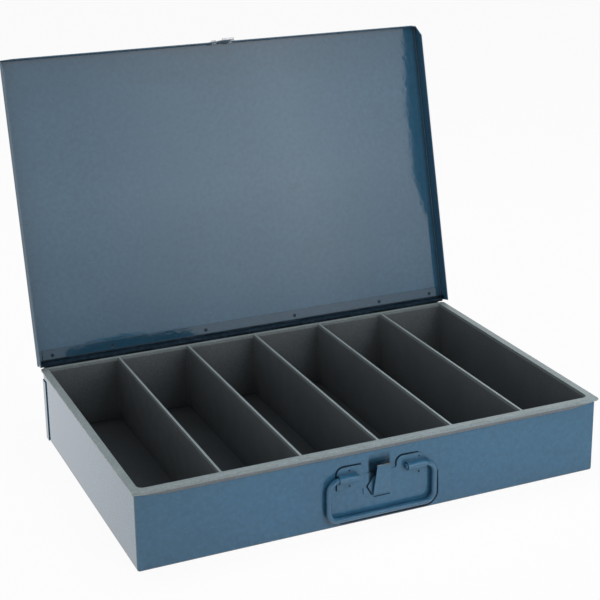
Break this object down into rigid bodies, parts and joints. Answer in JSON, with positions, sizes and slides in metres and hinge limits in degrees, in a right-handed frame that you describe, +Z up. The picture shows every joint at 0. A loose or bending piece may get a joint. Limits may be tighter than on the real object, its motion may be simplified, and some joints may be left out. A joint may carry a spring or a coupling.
{
  "type": "compartment storage box",
  "caption": "Flat steel carrying box with a hinged lid, a moulded tray of long compartments, a drop handle and a spring catch, for sorting small parts.",
  "frame": {"origin": "middle of the floor's underside, which the box stands on", "axes": "+X to the right along the hinge, +Y from the front to the back, +Z up"},
  "size_m": [0.4626, 0.3852, 0.3816],
  "materials": {
    "blue_enamel": "smooth baked enamel, grey blue, slightly glossy",
    "grey_moulding": "moulded polystyrene, mid grey, fine satin surface",
    "plated_steel": "bright zinc plate"
  },
  "bodies": {
    "box": {"base_pan": "blue_enamel", "rear_panel": "blue_enamel", "tray_insert": "grey_moulding", "hinge_leaf_box": "blue_enamel", "hinge_pin": "plated_steel", "handle_plate": "blue_enamel", "catch_root": "blue_enamel"},
    "lid": {"lid_panel": "blue_enamel", "hinge_leaf_lid": "blue_enamel", "lid_strike": "plated_steel", "strike_rivets": "plated_steel"},
    "bail": {"bail_handle": "blue_enamel"},
    "catch": {"catch_flap": "blue_enamel"}
  },
  "joints": [
    {"name": "lid_hinge", "type": "hinge", "parent": "box", "child": "lid", "pos_m": [0, 0.1518, 0.0772], "axis": [1, 0, 0], "range_deg": [0, 103.8]},
    {"name": "handle_swing", "type": "hinge", "parent": "box", "child": "bail", "pos_m": [0, -0.1532, 0.048], "axis": [-1, 0, 0], "range_deg": [0, 160]},
    {"name": "catch_flex", "type": "hinge", "parent": "box", "child": "catch", "pos_m": [0, -0.1516, 0.0273], "axis": [1, 0, 0], "range_deg": [0, 8], "stiffness_Nm_per_rad": 3}
  ]
}
